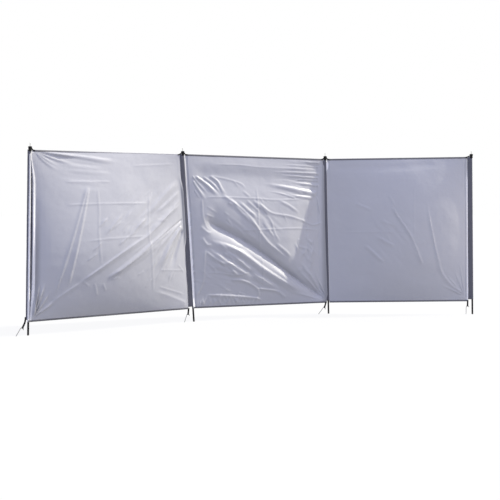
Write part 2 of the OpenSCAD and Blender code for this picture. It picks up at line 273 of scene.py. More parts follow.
def silver_cloth(tree):
    place, across, up = cloth_place(tree)
    cloud = tree.noise(place, 3.5, 4)
    fleck = tree.noise(place, 900, 2)
    slub = tree.noise(tree.stretch(place, 6, 900, 1), 1.0, 2)
    grid = dashes(across, 160, 0.06).most(dashes(up, 160, 0.06))
    body = tree.mix(cloud, (0.44, 0.445, 0.47), (0.48, 0.485, 0.505))
    body = tree.mix(fleck * 0.2, body, (0.54, 0.54, 0.55))
    body = tree.mix(grid * 0.1, body, (0.4, 0.41, 0.45))
    side = tree.layer("edge")
    stitch = ((side - (PALE_WIDTH - 2) * MM).size() < 0.0008) * dashes(up, 210, 0.62)
    # Where the second UV map says so, the cloth darkens to grey-blue as painted shade past the left bay's
    # tuck and beside the third sleeve, and as a painted shadow of the second pole on the left bay's lap;
    # the same map dulls the pale strips beside the seams, more towards their upper ends.
    painted_light_and_dulling = tree.layer("painted_light_and_dulling")
    body = tree.mix(painted_light_and_dulling, body, (0.26, 0.262, 0.278))
    body = tree.mix((side < PALE_WIDTH * MM) * (0.95 - painted_light_and_dulling), body, (0.9, 0.9, 0.9))
    body = tree.mix(stitch * 0.6, body, (0.24, 0.24, 0.27))
    threads = weave(across, up, 0.0009) * 0.5 + grid * 0.8 + slub * 0.5 - stitch * 2
    return look(body, cloud * 0.16 + 0.36, tree.bump(threads, 0.35, 0.00012))


def sleeve_cloth(tree):
    place, across, up = cloth_place(tree)
    cloud = tree.noise(tree.stretch(place, 60, 14, 1), 1.0, 5, 0.6)
    fleck = tree.noise(place, 1400, 2)
    body = tree.mix(cloud, (0.05, 0.051, 0.062), (0.17, 0.171, 0.195))
    body = tree.mix(fleck * 0.35, body, (0.19, 0.19, 0.205))
    threads = weave(across, up, 0.0011) + fleck
    return look(body, cloud * 0.15 + 0.68, tree.bump(threads, 0.5, 0.0002), shine=0.25)


def tape_cloth(tree):
    place, across, up = cloth_place(tree)
    rib = (across * 3200).sine()
    stitch = ((up - 0.004).size() < 0.0005) * dashes(across, 300, 0.72)
    cloud = tree.noise(place, 30, 3)
    body = tree.mix(cloud, (0.115, 0.116, 0.125), (0.17, 0.17, 0.18))
    body = tree.mix(stitch, body, (0.3, 0.3, 0.32))
    # Painted sheen: where the second UV map says so, the tape turns paler, as the left bay's upper tape
    # catching the light
    body = tree.mix(tree.layer("painted_light_and_dulling"), body, (0.44, 0.44, 0.45))
    return look(body, cloud * 0.15 + 0.66, tree.bump(rib * 0.4 + stitch * 1.6, 0.5, 0.0003))


def black_webbing(tree):
    place, along, across = cloth_place(tree)
    fuzz = tree.noise(place, 900, 3)
    dust = tree.noise(place, 60, 3)
    stitch = ((across.size() - 0.0035).size() < 0.0004) * dashes(along, 330, 0.65)
    body = tree.mix(dust, (0.006, 0.006, 0.0065), (0.016, 0.0155, 0.015))
    body = tree.mix(fuzz * 0.25, body, (0.035, 0.035, 0.035))
    body = tree.mix(stitch * 0.6, body, (0.06, 0.06, 0.062))
    threads = weave(along, across, 0.0022) + fuzz * 0.8 + stitch * 2
    return look(body, dust * 0.2 + 0.7, tree.bump(threads, 0.6, 0.0005), shine=0.12)


def pole_paint(tree):
    place = solid_place(tree)
    peel = tree.noise(place, 700, 2)
    wear = tree.noise(tree.stretch(place, 90, 90, 7), 1.0, 4)
    height = tree.parts(place)[2]
    earth = (height < 0.03) * (tree.noise(place, 70, 4) > 0.52)
    body = tree.mix(wear, (0.004, 0.004, 0.005), (0.013, 0.013, 0.014))
    body = tree.mix(earth * 0.3, body, (0.07, 0.062, 0.05))
    return look(body, wear * 0.25 + 0.42, tree.bump(peel, 0.25, 0.0003), shine=0.12)


def cap_plastic(tree):
    place = solid_place(tree)
    grain = tree.noise(place, 1600, 2)
    cloud = tree.noise(place, 90, 4)
    body = tree.mix(cloud, (0.006, 0.006, 0.0065), (0.014, 0.014, 0.015))
    return look(body, cloud * 0.18 + 0.5, tree.bump(grain, 0.3, 0.0003), shine=0.2)


def bright_steel(tree):
    place = solid_place(tree)
    brushed = tree.noise(tree.stretch(place, 1500, 1500, 40), 1.0, 3)
    body = tree.mix(brushed, (0.5, 0.5, 0.49), (0.7, 0.7, 0.68))
    return look(body, brushed * 0.2 + 0.22, tree.bump(brushed, 0.2, 0.0002), metallic=1.0)


def galvanised_wire(tree):
    place = solid_place(tree)
    spangle = tree.node("ShaderNodeTexVoronoi", {"Vector": place, "Scale": 260}, {"feature": "F1"}, out=1)
    dull = tree.noise(place, 220, 4)
    zinc = tree.mix(dull, (0.1, 0.1, 0.1), (0.26, 0.26, 0.25))
    body = tree.mix(0.2, zinc, spangle)
    return look(body, dull * 0.3 + 0.42, tree.bump(dull, 0.3, 0.0003), metallic=0.5)


# Finishes of the cloth and webbing by slot, and of the solids by the ends of their names
FINISHES = {
    "silver_cloth": finish_of("silver_cloth", silver_cloth),
    "sleeve_cloth": finish_of("sleeve_cloth", sleeve_cloth),
    "binding_tape": finish_of("binding_tape", tape_cloth),
    "black_webbing": finish_of("black_webbing", black_webbing),
}
CAD_FINISHES = {
    "_pole": finish_of("pole_paint", pole_paint),
    "_cap": finish_of("cap_plastic", cap_plastic),
    "_pin": finish_of("bright_steel", bright_steel),
    "_peg": finish_of("galvanised_wire", galvanised_wire),
}


# Light: a sun on the right in its own warm haze, the sky's bluish fill, and a pale floor that reads white
SUN_AT = (6, 0, 6)
SUN_HEIGHT = 45.0
SUN_BEHIND = 8.4
SUN_LEVEL = 4.0
SUN_WIDTH = 0.8
SUN_COLOUR = (1.0, 0.95, 0.79)
SKY_FILL = (0.68, 0.76, 1.16)
SKY_GLOW = (1.75, 1.65, 1.75)
GLOW_TIGHT = 3
FLOOR_SIZE, FLOOR_AT = 120, (2, 0, -0.0005)
FLOOR_BOUNCE = (0.24, 0.235, 0.218)
FLOOR_GLOW = 0.9
FLOOR_SHADE = 0.06
# Sunlit ground beyond the right pole throws some light back
BOUNCE_FROM, BOUNCE_TO = (4.9, 0.1, 0.3), (3.95, 1.15, 0.7)
BOUNCE_LEVEL = 3.1
BOUNCE_SIZE, BOUNCE_SPREAD = 1.9, 95
BOUNCE_COLOUR = (1.0, 0.9, 0.76)


def to_sun():
    up, behind = math.radians(SUN_HEIGHT), math.radians(SUN_BEHIND)
    return Vector((math.cos(up) * math.cos(behind), math.cos(up) * math.sin(behind), math.sin(up)))


def seen_rays(tree):
    """1 where the camera, a reflection or a see-through surface looks, and 0 for the fill light."""
    ways = tree.node("ShaderNodeLightPath").socket.node.outputs
    camera, glossy, through = (Val(tree, ways[n]) for n in
                               ("Is Camera Ray", "Is Glossy Ray", "Is Transmission Ray"))
    return camera.most(glossy).most(through)


def add_light(kind, place, back, level, colour):
    """A light that shines against the direction back."""
    bpy.ops.object.light_add(type=kind, location=place, rotation=back.to_track_quat("Z", "Y").to_euler())
    light = bpy.context.object
    light.data.energy, light.data.color = level, colour
    return light


def set_light():
    sun = add_light("SUN", SUN_AT, to_sun(), SUN_LEVEL, SUN_COLOUR)
    sun.data.angle = math.radians(SUN_WIDTH)
    back = Vector(BOUNCE_FROM) - Vector(BOUNCE_TO)
    bounce = add_light("AREA", BOUNCE_FROM, back, BOUNCE_LEVEL, BOUNCE_COLOUR)
    bounce.data.size, bounce.data.spread = BOUNCE_SIZE, math.radians(BOUNCE_SPREAD)
    bounce.visible_camera = False
    world = bpy.data.worlds.new("sky")
    bpy.context.scene.world = world
    world.use_nodes = True
    tree = Tree(world.node_tree)
    way = tree.node("ShaderNodeTexCoord")
    near_sun = tree.node("ShaderNodeVectorMath", {0: way, 1: tuple(to_sun())},
                         {"operation": "DOT_PRODUCT"}, out=1)
    sky = tree.mix(near_sun.most(0) ** GLOW_TIGHT, SKY_FILL, SKY_GLOW)
    colour = tree.mix(seen_rays(tree), sky, (1, 1, 1))
    glow = tree.node("ShaderNodeBackground", {"Color": colour, "Strength": 1.0})
    tree.node("ShaderNodeOutputWorld", {"Surface": glow})


def floor_shader(tree):
    bounce = tree.node("ShaderNodeBsdfDiffuse", {"Color": (*FLOOR_BOUNCE, 1)})
    white = tree.node("ShaderNodeEmission", {"Color": (1, 1, 1, 1), "Strength": FLOOR_GLOW})
    shade = tree.node("ShaderNodeBsdfDiffuse", {"Color": (FLOOR_SHADE,) * 3 + (1,)})
    shown = tree.node("ShaderNodeAddShader", {0: white, 1: shade})
    return tree.node("ShaderNodeMixShader", {0: seen_rays(tree), 1: bounce, 2: shown})


def set_floor():
    bpy.ops.mesh.primitive_plane_add(size=FLOOR_SIZE, location=FLOOR_AT)
    floor = bpy.context.object
    floor.name = "floor"
    floor.data.materials.append(material_of("pale_floor", floor_shader))


# The poles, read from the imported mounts
MOUNTS = {m["name"]: m for m in frame["record"]["mounts"]}
FEET = [np.array(MOUNTS[p + "_pole_foot"]["pos_m"]) / MM for p in POLES]
UP = [np.array(MOUNTS[p + "_top_pin"]["axis"]) for p in POLES]


def bay_along(bay):
    way = FEET[bay + 1] - FEET[bay]
    return way / np.linalg.norm(way)


def beside(pole, bay=None):
    """Axes of a pole's frame, with x along the bay, or the one on its left, y to the back and z up it."""
    x = bay_along(max(pole - 1, 0) if bay is None else bay)
    x = x - UP[pole] * (x @ UP[pole])
    x = x / np.linalg.norm(x)
    return x, np.cross(UP[pole], x), UP[pole]


def ease(low, high, value):
    t = np.clip((value - low) / (high - low), 0, 1)
    return t * t * (3 - 2 * t)


def blend(a, b, share):
    """a where share is 0, and b where it is 1."""
    return a + (b - a) * share


def profile_at(profile, distance):
    """Height of a seam's profile at a distance."""
    return np.interp(distance, *zip(*profile))


def smooth_path(points, steps=7):
    """A smooth line through the points."""
    p = np.array([points[0], *points, points[-1]], float)
    line = []
    for a, b, c, d in zip(p, p[1:], p[2:], p[3:]):
        for t in np.arange(steps) / steps:
            line.append(0.5 * (2 * b + (c - a) * t + (2 * a - 5 * b + 4 * c - d) * t * t
                               + (3 * b - a - 3 * c + d) * t ** 3))
    return np.array([*line, p[-2]])


def rumple(x, z, size, seed):
    """Soft random hills of that size in millimetres, from -1 to 1."""
    hills = np.random.default_rng(seed).uniform(-1, 1, (80, 80))
    gx, gz = x / size + 8, z / size + 8
    ix, iz = np.floor(gx).astype(int), np.floor(gz).astype(int)
    tx, tz = gx - ix, gz - iz
    tx, tz = tx ** 3 * (tx * (6 * tx - 15) + 10), tz ** 3 * (tz * (6 * tz - 15) + 10)
    ix, iz = ix % 79, iz % 79
    near = hills[ix, iz] * (1 - tx) + hills[ix + 1, iz] * tx
    far = hills[ix, iz + 1] * (1 - tx) + hills[ix + 1, iz + 1] * tx
    return near * (1 - tz) + far * tz


def off_line(line, x, z):
    """Distances of points from a line, below 0 on its right, and the shares of the line passed there."""
    lengths = np.linalg.norm(np.diff(line, axis=0), axis=1)
    starts = np.concatenate([[0], np.cumsum(lengths)])
    best = np.full(x.shape, np.inf)
    off, share = np.zeros_like(x), np.zeros_like(x)
    for a, b, size, start in zip(line, line[1:], lengths, starts):
        if size < 1e-6:
            continue
        way = (b - a) / size
        t = np.clip((x - a[0]) * way[0] + (z - a[1]) * way[1], 0, size)
        dx, dz = x - a[0] - way[0] * t, z - a[1] - way[1] * t
        d = dx * dx + dz * dz
        closer = d < best
        best = np.where(closer, d, best)
        sign = np.where(dz * way[0] - dx * way[1] >= 0, 1.0, -1.0)
        off = np.where(closer, sign * np.sqrt(d), off)
        share = np.where(closer, (start + t) / starts[-1], share)
    return off, share


def tail_at(pole, h):
    """Reach of a sleeve's folded edge from its pole at a height above the cloth's lower edge."""
    low, middle, high = TAILS[pole]
    s = h / CLOTH_HEIGHT
    return low * (1 - s) * (1 - 2 * s) + middle * 4 * s * (1 - s) + high * s * (2 * s - 1)


def mid_height(h):
    """0 at the cloth's upper and lower edges and 1 away from them."""
    return ease(10, 90, h) * ease(CLOTH_HEIGHT - 10, CLOTH_HEIGHT - 90, h)


# Direction of the sun in the plane of a bay, along it and up: a fold's lit flank faces this way
LIT_WAY = np.array([0.68, 0.73])


class Bay:
    """One bay's cloth: a patch between two poles, swollen to the front and folded."""

    def __init__(self, index):
        self.index, self.name = index, BAYS[index]
        self.along = bay_along(index)
        self.front = np.array([self.along[1], -self.along[0], 0.0])
        self.foot = FEET[index]
        self.width = np.linalg.norm(FEET[index + 1] - FEET[index])
        self.folds, self.streaks = [], []

    def left_reach(self, h):
        """Distance of the cloth's left edge from its pole."""
        start = blend(WRAP_LOW[self.index], WRAP_HIGH[self.index], h / CLOTH_HEIGHT)
        return blend(start, CAP_CLEAR, ease(CLOTH_HEIGHT - 40, CLOTH_HEIGHT - 16, h))

    def lap(self, h):
        """1 where the cloth laps over its right sleeve, and 0 elsewhere."""
        if self.index == LEFT:
            return ease(*LAP_STARTS, h) * ease(*LAP_ENDS, h)
        return mid_height(h) if self.index == MIDDLE else h * 0

    def right_reach(self, h):
        """Distance of the cloth's right edge from its pole."""
        return tail_at(self.index + 1, h) + FIT - LAP_WIDTH[self.index] * self.lap(h)

    def flat(self, u, h):
        """Points of the unswollen cloth at share u of its width and height h."""
        ends = []
        for pole, reach in ((self.index, self.left_reach(h)), (self.index + 1, -self.right_reach(h))):
            x, _, z = beside(pole, self.index)
            ends.append(FEET[pole] + reach[..., None] * x + (CLOTH_GAP[pole] + h)[..., None] * z)
        return blend(*ends, u[..., None])

    def swell(self, u, h):
        """How far the cloth swells to the front."""
        w = np.clip(u, 0, 1) ** (math.log(0.5) / math.log(SWELL_AT[self.index]))
        v = np.clip(h / CLOTH_HEIGHT, 0, 1) ** (math.log(0.5) / math.log(SWELL_UP[self.index]))
        up = 1 - np.abs(2 * v - 1) ** SWELL_BLUNT[self.index]
        return SWELL[self.index] * (1 - (2 * w - 1) ** 2) * up

    def seen(self, px, py):
        """Where the bay's cloth shows at a pixel: millimetres along the bay and up."""
        eye = np.array(EYE) / MM
        ray = np.array([(px - CENTRE_PX[0]) / FOCAL_PX, 1.0, (CENTRE_PX[1] - py) / FOCAL_PX])
        out = 0.0
        for _ in range(5):
            reach = ((self.foot + self.front * out - eye) @ self.front) / (ray @ self.front)
            spot = eye + ray * reach
            x, z = (spot - self.foot) @ self.along, spot[2]
            out = float(self.swell(np.array(x / self.width), np.array(z - CLOTH_GAP[self.index])))
        return x, z

    def fold(self, path, rise, lit, dark, ends=(0.25, 0.25), grow=(1, 1), sharp=False):
        """A ridge, or a valley where rise is negative, along a path of pixels. lit and dark are the
        widths of its flanks towards the sun and away from it, ends the shares where it fades, and
        grow the shares of that width where it starts and ends."""
        line = smooth_path([self.seen(*spot) for spot in path])
        self.folds.append((line, rise, lit, dark, ends, grow, sharp))

    def crease(self, path, rise, lit, dark, ends=(0.25, 0.25), grow=(1, 1)):
        """A fold with a sharp crest."""
        self.fold(path, rise, lit, dark, ends, grow, True)

    def creases(self, *paths, rise=1.8, lit=10, dark=22):
        """Sharp lines left from when the cloth was packed."""
        for path in paths:
            self.crease(path, rise, lit, dark, (0.12, 0.12))

    def group(self, rows, lit, dark, ends, grow=(1, 1), sharp=False, rise=1):
        """Folds of one kind, from rows of a size and a path. Rise and widths go with that size."""
        for size, *path in rows:
            self.fold(path, rise * size, lit * size, dark * size, ends, grow, sharp)

    def ripples(self, spot, reach, slant, long, wide, rise, seed):
        """Soft streaks about a pixel, slanting by that angle from the bay's line."""
        self.streaks.append((self.seen(*spot), reach, math.radians(slant), long, wide, rise, seed))

    def scatter(self, spot, reach, slant, count, rise, seed):
        """Short creases strewn about a pixel, near that slant from the bay's line. Their reach may
        differ along the bay and up."""
        dice = np.random.default_rng(seed)
        middle = np.array(self.seen(*spot))
        for _ in range(count):
            place = middle + dice.normal(0, STREWN_SPREAD, 2) * reach
            angle = math.radians(slant + dice.normal(0, STREWN_TURN))
            half = np.array([math.cos(angle), math.sin(angle)]) * dice.uniform(*STREWN_HALF)
            size = rise * dice.uniform(*STREWN_SIZE)
            line = np.array([place - half, place, place + half])
            self.folds.append((line, size, 2.6 * size + 4, 5 * size + 4, (0.4, 0.4), (1, 1), False))

    def fan(self, corner, tips, rise, width):
        """Folds that spread from a corner, growing wider on the way."""
        for k, tip in enumerate(tips):
            self.fold([corner, tip], rise * (1 - 0.2 * (k % 2)), width, width, (0.15, 0.55), (0.25, 1))

    def relief(self, x, z):
        """Height of all the folds at points along the bay and up."""
        total = np.zeros_like(x)
        for line, rise, lit, dark, ends, grow, sharp in self.folds:
            whole = line[-1] - line[0]
            side = 1.0 if np.array([-whole[1], whole[0]]) @ LIT_WAY > 0 else -1.0
            reach = max(lit, dark) * max(grow)
            low, high = line.min(0) - reach, line.max(0) + reach
            near = (x > low[0]) & (x < high[0]) & (z > low[1]) & (z < high[1])
            off, share = off_line(line, x[near], z[near])
            t = np.clip(np.abs(off) / (np.where(off * side > 0, lit, dark) * blend(*grow, share)), 0, 1)
            shape = (1 - t) ** 2 if sharp else 0.5 + 0.5 * np.cos(np.pi * t)
            total[near] += rise * shape * (ease(0, ends[0], share) * ease(0, ends[1], 1 - share))
        for (mx, mz), reach, slant, long, wide, rise, seed in self.streaks:
            dx, dz = x - mx, z - mz
            along = dx * math.cos(slant) + dz * math.sin(slant)
            over = dz * math.cos(slant) - dx * math.sin(slant)
            fade = ease(reach, reach * 0.4, np.hypot(dx, dz))
            total += rise * rumple(along * wide / long, over, wide, seed) * fade
        return total

    def twist(self, h):
        """1 where the right bay's left edge turns to the light, and 0 elsewhere."""
        return ease(TWIST_SPAN[0], TWIST_SPAN[0] + 60, h) * ease(TWIST_SPAN[1], TWIST_SPAN[1] - 25, h)

    def tuck(self, h):
        """Share of its full width that the left bay's tuck and pale strips have at a height."""
        return blend(TUCK_HIGH, 1, ease(*NARROWS_UP, h)) * blend(TUCK_LOW, 1, ease(*NARROWS_DOWN, h))

    def seams(self, u, h):
        """Height of the cloth where it wraps the left sleeve and where it is sewn to the right one."""
        from_pole = self.left_reach(h) + u * self.width
        from_end = (1 - u) * self.width
        start, end = profile_at(PLAIN_START, from_pole), profile_at(PLAIN_END, from_end)
        strip = profile_at(STRIP_START, from_pole)
        if self.index == LEFT:
            opened = np.clip((h - TUCK_SPAN[0]) / (TUCK_SPAN[1] - TUCK_SPAN[0]), 0, 1)
            share = np.where(from_pole > TUCK_FROM, self.tuck(h), 1)
            tucked = profile_at(TUCK_START, from_pole / share)
            start = blend(start, tucked, np.sin(np.pi * opened) ** TUCK_BLUNT)
            end = blend(end, profile_at(LAP_END, from_end), self.lap(h))
        elif self.index == MIDDLE:
            rise, size, seed = PUCKERS
            pucker = rise * rumple(h * 0, h, size, seed) * ease(*PUCKER_STARTS, h) * ease(*PUCKER_ENDS, h)
            start = strip * np.where(from_pole > PUCKER_FROM, 1 + pucker, 1)
            end = blend(end, profile_at(HOLLOW_END, from_end), self.lap(h))
        else:
            start = blend(start, strip, self.twist(h))
            end = blend(end, profile_at(STRIP_END, from_end), mid_height(h))
        return start + end

    def painted_shade_and_dulling(self, u, h):
        """How far the cloth's colour is darkened: the pale strips dulled more towards their upper ends,
        painted shade past the left bay's tuck and beside the third sleeve, and a painted shadow of the
        second pole on the left bay's lap. Each ease() fades over two distances or heights."""
        from_start, from_end = u * self.width, (1 - u) * self.width
        # How far the pale strips are dulled, more towards their upper ends
        strip = blend(STRIP_DULL_LOW[self.index], STRIP_DULL_HIGH[self.index], ease(*STRIP_DULL_RISES[self.index], h))
        if self.index == RIGHT:
            return strip * ease(24, 18, from_end)
        if self.index == MIDDLE:
            # Painted shade beside the third sleeve, reaching further from it low down
            by_sleeve = ease(75 - 45 * h / CLOTH_HEIGHT, 0, from_end)
            return PAINTED_SHADE_BY_SLEEVE * by_sleeve + strip * ease(28, 22, from_start)
        # Painted shade just past the left bay's tuck, where the strip and tuck would shade the cloth
        past_tuck = ease(56, 60, from_start) * ease(112, 66, from_start)
        past_tuck = past_tuck * ease(20, 120, h) * ease(1150, 550, h)
        # Painted shadow of the second pole on the left bay's lap
        on_lap = ease(30, 20, from_end) * self.lap(h)
        strips = strip * ease(64, 58, from_start / self.tuck(h))
        return PAINTED_SHADE_PAST_TUCK * past_tuck + PAINTED_SHADOW_ON_LAP * on_lap + strips

    def surface(self, u, h):
        """Points of the folded cloth."""
        points = self.flat(u, h)
        x, z = (points - self.foot) @ self.along, points[..., 2]
        hills = sum(rise * rumple(x, z, size, self.index + seed) for rise, size, seed in HILLS)
        sides = np.minimum(u, 1 - u) * self.width
        edges = np.minimum(h, CLOTH_HEIGHT - h)
        hold = ease(*GROWS_BY_SEAM, sides) * blend(SHARE_AT_TAPE, 1, ease(*GROWS_BY_TAPE, edges))
        out = self.swell(u, h) + self.seams(u, h) + (self.relief(x, z) + hills) * hold
        return points + out[..., None] * self.front


def mesh_of(name, points, flat, slot, edge=None, painted_light_and_dulling=None, closed=False):
    """A mesh object from a grid of points in millimetres; a closed one joins its last column to its first.
    Its UV maps are its flat coordinates in metres and, where given, those from a pale strip and how far
    painted light (shade, shadow or sheen) and dulling change its colour."""
    rows, cols = points.shape[:2]
    index = np.arange(rows * cols).reshape(rows, cols)
    if closed:
        index = np.concatenate([index, index[:, :1]], axis=1)
    faces = np.stack([index[:-1, :-1], index[:-1, 1:], index[1:, 1:], index[1:, :-1]], -1).reshape(-1, 4)
    mesh = bpy.data.meshes.new(name)
    mesh.from_pydata((points.reshape(-1, 3) * MM).tolist(), [], faces.tolist())
    mesh.materials.append(FINISHES[slot])
    corners = np.zeros(len(mesh.loops), np.int32)
    mesh.loops.foreach_get("vertex_index", corners)
    for layer, places in (("flat", flat), ("edge", edge), ("painted_light_and_dulling", painted_light_and_dulling)):
        if places is not None:
            mesh.uv_layers.new(name=layer).data.foreach_set(
                "uv", places.reshape(-1, 2)[corners].astype(np.float32).ravel())
    mesh.polygons.foreach_set("use_smooth", np.ones(len(mesh.polygons), bool))
    made = bpy.data.objects.new(name, mesh)
    bpy.context.scene.collection.objects.link(made)
    return made


def only(piece):
    bpy.ops.object.select_all(action="DESELECT")
    piece.select_set(True)
    bpy.context.view_layer.objects.active = piece


def thicken(piece, thick, offset=0.0):
    only(piece)
    solid = piece.modifiers.new("thick", "SOLIDIFY")
    solid.thickness, solid.offset = thick * MM, offset
    bpy.ops.object.modifier_apply(modifier=solid.name)


def dress(piece, slot, *nodes):
    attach(piece, "root")
    if nodes:
        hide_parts(*nodes)


CLOTH_ROWS = 205
CLOTH_COLS = 160
STRIP_COLS = 30
STRIP_WIDTH = 80.0
# The cloth ends this far inside its tapes, and the right bay's pale strip is narrower by this
IN_TAPE, NARROWER = 1.5, 8


def make_cloth(bay):
    """A bay's cloth, with finer columns beside both sleeves."""
    strip = STRIP_WIDTH / bay.width
    across = np.concatenate([np.linspace(0, strip, STRIP_COLS, endpoint=False),
                             np.linspace(strip, 1 - strip, CLOTH_COLS, endpoint=False),
                             np.linspace(1 - strip, 1, STRIP_COLS)])
    up = np.linspace(IN_TAPE, CLOTH_HEIGHT - IN_TAPE, CLOTH_ROWS)
    u, h = np.meshgrid(across, up)
    flat = np.stack([u * bay.width, h], -1) * MM
    side = u * bay.width
    if bay.index == RIGHT:
        side = np.minimum((1 - u) * bay.width + NARROWER, side + PALE_WIDTH * (1 - bay.twist(h)))
    if bay.index == LEFT:
        side = side / bay.tuck(h)
        side = np.where(side > PALE_AGAIN, side - PALE_AGAIN, side)
    edge = np.stack([side, h], -1) * MM
    painted_light_and_dulling = np.stack([bay.painted_shade_and_dulling(u, h), u * 0], -1)
    piece = mesh_of(bay.name + "_cloth", bay.surface(u, h), flat, "silver_cloth", edge, painted_light_and_dulling)
    thicken(piece, CLOTH_THICK)
    parts = ("", "_left_seam", "_right_seam")
    dress(piece, "silver_cloth", *(bay.name + "_panel" + part for part in parts))
    return piece


LINING_ROWS = 90
LINING_COLS = 7


def make_lining_and_shade(bay):
    """Sleeve cloth laid over the cloth where the left bay's tuck opens, showing as a dark lens: partly the
    sleeve seen through the tuck, partly painted shade of its deep valley.
    """
    up, across = np.linspace(*TUCK_SPAN, LINING_ROWS), np.linspace(-1, 1, LINING_COLS)
    s, h = np.meshgrid(across, up)
    opened = np.sin(np.pi * (h - TUCK_SPAN[0]) / (TUCK_SPAN[1] - TUCK_SPAN[0]))
    from_pole = (LINING_AT + s * (1 + (LINING_HALF - 1) * opened)) * bay.tuck(h)
    points = bay.surface((from_pole - bay.left_reach(h)) / bay.width, h) + bay.front * LINING_OUT
    flat = np.stack([from_pole, h], -1) * MM
    piece = mesh_of("left_tuck_lining", points, flat, "sleeve_cloth")
    thicken(piece, LINING_THICK)
    dress(piece, "sleeve_cloth")
    return piece


TAPE_COLS = 240
# Share of the left bay's upper tape that rolls to the back by its right end, and the shares of the bay's
# width where it has rolled and where its painted sheen is full
TAPE_ROLL, TAPE_ROLLED, TAPE_PAINTED_SHEEN = 0.75, 0.8, 0.75


def make_tape(bay, upper):
    """Tape folded over the upper or lower edge of a bay's cloth."""
    start = (CAP_CLEAR + FIT if upper else SLEEVE_RADIUS + FIT) / bay.width
    across = np.linspace(start * 0.4, 1 - 0.6 / bay.width, TAPE_COLS)
    half = CLOTH_THICK / 2 + 0.5
    ring = [(0, half), (0.35, half + 0.35), (TAPE_WIDTH - 2, half + 0.25), (TAPE_WIDTH, 0.3),
            (TAPE_WIDTH, -0.3), (TAPE_WIDTH - 2, -half - 0.25), (0.35, -half - 0.35), (0, -half)]
    rolls = upper and bay.index == LEFT
    narrow = 1 - TAPE_ROLL * ease(0, TAPE_ROLLED, across) if rolls else np.ones_like(across)
    # Painted sheen along the left bay's upper tape, growing towards its right end
    pale = np.stack([ease(0, TAPE_PAINTED_SHEEN, across) if rolls else across * 0, across * 0], -1)
    layers, flats = [], []
    for inward, out in ring:
        below = (TAPE_WIDTH - inward) * narrow
        h = CLOTH_HEIGHT - below if upper else below
        layers.append(bay.surface(across, h) + bay.front * out)
        flats.append(np.stack([across * bay.width * MM, np.full_like(across, inward * MM)], -1))
    points, flat = np.stack(layers, 1), np.stack(flats, 1)
    name = f"{bay.name}_{'top' if upper else 'bottom'}_tape"
    painted_light_and_dulling = np.repeat(pale[:, None], len(ring), 1)
    piece = mesh_of(name, points, flat, "binding_tape", painted_light_and_dulling=painted_light_and_dulling, closed=True)
    close_up(piece)
    dress(piece, "binding_tape", name.replace("tape", "binding"))
    return piece


SLEEVE_ROWS = 150
SLEEVE_ROUND = 30
SLEEVE_EDGE = 8
# Rise, size and first seed of a sleeve's puckers, and of the sway of its folded edge
SLEEVE_PUCKERS, SLEEVE_SWAY = (0.7, 17, 40), (1.6, 190, 60)


def make_sleeve(pole):
    """A flat sleeve: round about the pole, drawn in to a folded edge on its left, and puckered."""
    x, y, z = beside(pole)
    high = CLOTH_HEIGHT + POLE_ABOVE - CAP_SKIRT - 1
    rows = []
    for h in [*np.linspace(SLEEVE_LIFT, high, SLEEVE_ROWS), *np.linspace(high + FIT, CLOTH_HEIGHT, 4)]:
        reach = tail_at(pole, h) - SLEEVE_FOLD
        tangent = math.pi / 2 + math.asin((SLEEVE_RADIUS - SLEEVE_FOLD) / reach)
        about_pole, at_edge = (np.linspace(-tangent, tangent, SLEEVE_ROUND),
                               np.linspace(tangent, 2 * math.pi - tangent, SLEEVE_EDGE))
        spots = [(SLEEVE_RADIUS, a, 0.0) for a in about_pole] + [(SLEEVE_FOLD, a, -reach) for a in at_edge]
        rows.append([(off + r * math.cos(a), r * math.sin(a), h) for r, a, off in spots])
    along, back, height = np.moveaxis(np.array(rows), -1, 0)
    turn = np.broadcast_to(np.arange(along.shape[1]) * 4.0, along.shape)
    rise, size, seed = SLEEVE_PUCKERS
    pucker = rise * (0.5 + 0.5 * rumple(turn, height, size, seed + pole)) / np.hypot(along, back)
    along, back = along * (1 + pucker), back * (1 + pucker)
    stop = -CAP_SKIRT_RADIUS - 2 * FIT
    by_cap = (height > high) & (along > stop)
    along = np.where(by_cap, stop, along)
    back = np.where(by_cap, np.clip(back, -SLEEVE_FOLD, SLEEVE_FOLD), back)
    rise, size, seed = SLEEVE_SWAY
    sway = rise * rumple(height * 0, height, size, seed + pole)
    back = back + sway * ease(SLEEVE_RADIUS, tail_at(pole, height) - SLEEVE_FOLD, -along)
    base = FEET[pole] + UP[pole] * CLOTH_GAP[pole]
    points = base + along[..., None] * x + back[..., None] * y + height[..., None] * z
    flat = np.stack([turn * 0.5, height], -1) * MM
    piece = mesh_of(POLES[pole] + "_pole_sleeve", points, flat, "sleeve_cloth", closed=True)
    thicken(piece, SLEEVE_THICK, -1.0)
    dress(piece, "sleeve_cloth", POLES[pole] + "_sleeve")


def close_up(piece):
    """Joins doubled points, fills open ends and turns every face outwards."""
    only(piece)
    bpy.ops.object.mode_set(mode="EDIT")
    bpy.ops.mesh.select_all(action="SELECT")
    bpy.ops.mesh.remove_doubles(threshold=1e-6)
    bpy.ops.mesh.fill_holes(sides=0)
    bpy.ops.mesh.normals_make_consistent(inside=False)
    bpy.ops.object.mode_set(mode="OBJECT")


